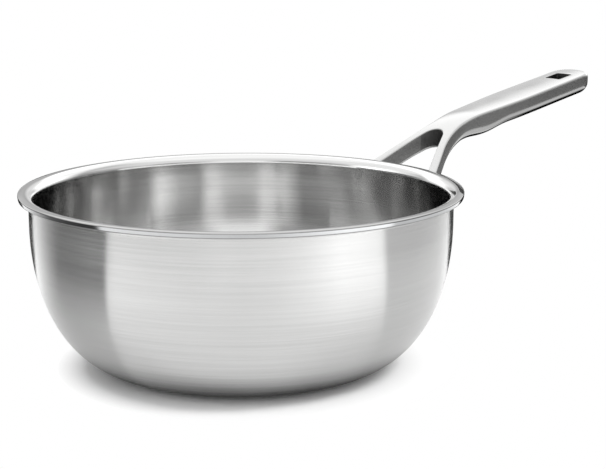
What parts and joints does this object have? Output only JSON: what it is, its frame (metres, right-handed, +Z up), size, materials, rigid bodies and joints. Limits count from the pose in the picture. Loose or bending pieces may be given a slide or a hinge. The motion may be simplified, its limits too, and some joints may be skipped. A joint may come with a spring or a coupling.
{
  "type": "saute pan",
  "caption": "Clad steel saute pan with a deep curved wall, a flared pouring lip and a forked steel handle that is welded on and has a square hanging hole.",
  "frame": {"origin": "centre of the base's underside, where the pan stands on the hob", "axes": "+Z up through the middle of the bowl, +X out along the handle"},
  "size_m": [0.4375, 0.2596, 0.1515],
  "materials": {
    "outer_steel": "fine circumferential brushing, polished lip edge",
    "core_aluminium": "ground cut edge, bonded faces",
    "inner_steel": "satin, brushed round the wall",
    "handle_steel": "satin cast steel, brighter top",
    "weld_steel": "dressed weld fillet"
  },
  "bodies": {
    "root": {"outer_skin": "outer_steel", "aluminium_core": "core_aluminium", "inner_skin": "inner_steel", "handle": "handle_steel", "left_weld": "weld_steel", "right_weld": "weld_steel"}
  },
  "joints": []
}
